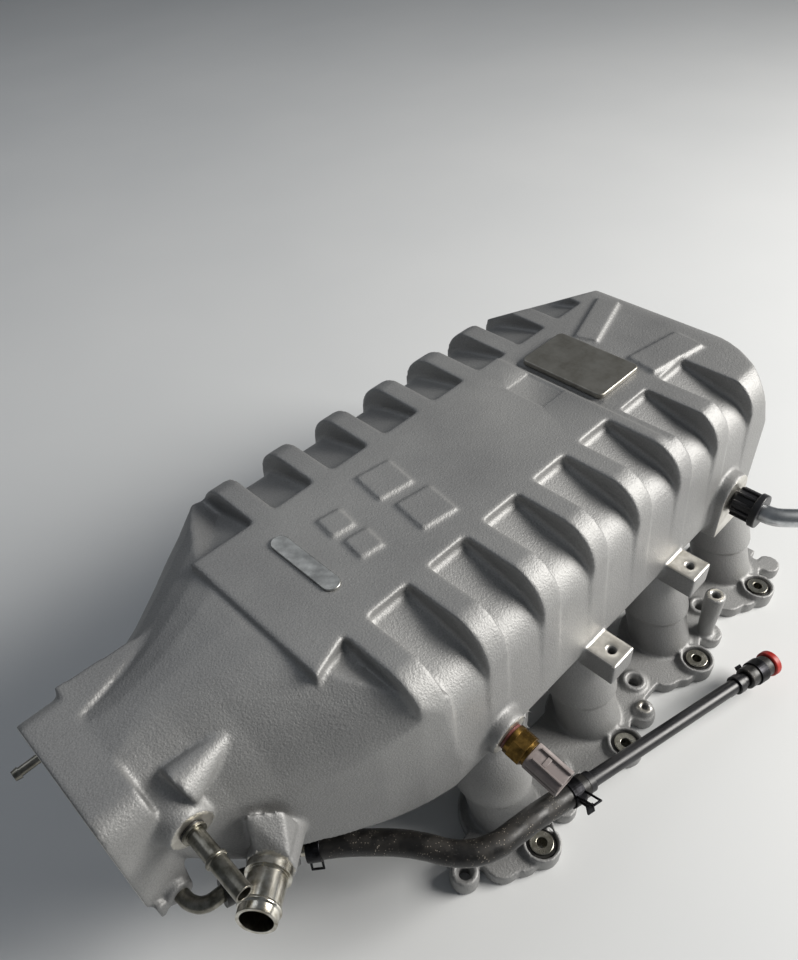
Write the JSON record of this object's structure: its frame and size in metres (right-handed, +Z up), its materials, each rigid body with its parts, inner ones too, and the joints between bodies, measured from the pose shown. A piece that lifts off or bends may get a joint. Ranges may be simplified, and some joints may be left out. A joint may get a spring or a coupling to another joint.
{
  "type": "intake manifold",
  "caption": "Cast aluminium V-engine intake manifold with a ribbed plenum, tapered throttle neck, slanted runners, flat head flanges, a breather tube, a sensor and a side hose.",
  "frame": {"origin": "axis of the throttle bore, at its mounting face, 143 mm above the joint faces of the head flanges", "axes": "+X from the throttle face to the rear, +Y towards the far bank, +Z up"},
  "size_m": [0.579, 0.3808, 0.206],
  "materials": {
    "cast_aluminium": "sand cast, unpainted",
    "machined_aluminium": "machined",
    "seal_rubber": "moulded",
    "isolator_rubber": "moulded",
    "zinc_steel": "zinc plated",
    "spun_aluminium": "spun",
    "brass": "machined, tarnished",
    "grey_plastic": "moulded",
    "tinned_pins": "tinned",
    "black_plastic": "moulded",
    "plated_steel": "yellow-grey passivated",
    "hose_rubber": "moulded, dusty",
    "spring_steel": "black coated",
    "red_plastic": "moulded",
    "enamel_plate": "plain plate with a dark edge"
  },
  "bodies": {
    "manifold": {"plenum_shell": "cast_aluminium", "plenum_floor": "cast_aluminium", "throttle_neck": "cast_aluminium", "throttle_seal": "seal_rubber", "runner_near_1": "cast_aluminium", "runner_near_2": "cast_aluminium", "runner_near_3": "cast_aluminium", "runner_near_4": "cast_aluminium", "runner_far_1": "cast_aluminium", "runner_far_2": "cast_aluminium", "runner_far_3": "cast_aluminium", "runner_far_4": "cast_aluminium", "head_flange_near": "cast_aluminium", "head_flange_far": "cast_aluminium", "port_seals_near": "seal_rubber", "port_seals_far": "seal_rubber", "isolators_near": "isolator_rubber", "isolators_far": "isolator_rubber", "sleeves_near": "zinc_steel", "sleeves_far": "zinc_steel", "bellmouths_near": "spun_aluminium", "bellmouths_far": "spun_aluminium", "bracket_boss_front": "machined_aluminium", "bracket_boss_rear": "machined_aluminium", "standoff_post": "cast_aluminium", "dowel_boss": "cast_aluminium", "sensor_boss": "cast_aluminium", "sensor_seal": "seal_rubber", "sensor_body": "brass", "sensor_housing": "grey_plastic", "sensor_pins": "tinned_pins", "line_boss": "cast_aluminium", "line_seal": "seal_rubber", "line_connector": "black_plastic", "line_pipe": "spun_aluminium", "breather_boss": "cast_aluminium", "breather_seal": "seal_rubber", "breather_tube": "plated_steel", "spigot_block": "cast_aluminium", "spigot": "machined_aluminium", "vacuum_nipple": "plated_steel", "elbow_pipe": "plated_steel", "elbow_joiner": "hose_rubber", "hose_barb": "zinc_steel", "hose": "hose_rubber", "clamp_front": "spring_steel", "clamp_middle": "spring_steel", "clamp_rear": "spring_steel", "transfer_pipe": "black_plastic", "pipe_clip": "black_plastic", "end_sleeve": "hose_rubber", "machined_pad": "machined_aluminium", "badge_plate": "enamel_plate"},
    "plug": {"end_plug": "red_plastic"}
  },
  "joints": [
    {"name": "end_plug_pull", "type": "slide", "parent": "manifold", "child": "plug", "axis": [0.9703, -0.2054, -0.1279], "range_m": [0, 0.02]}
  ]
}
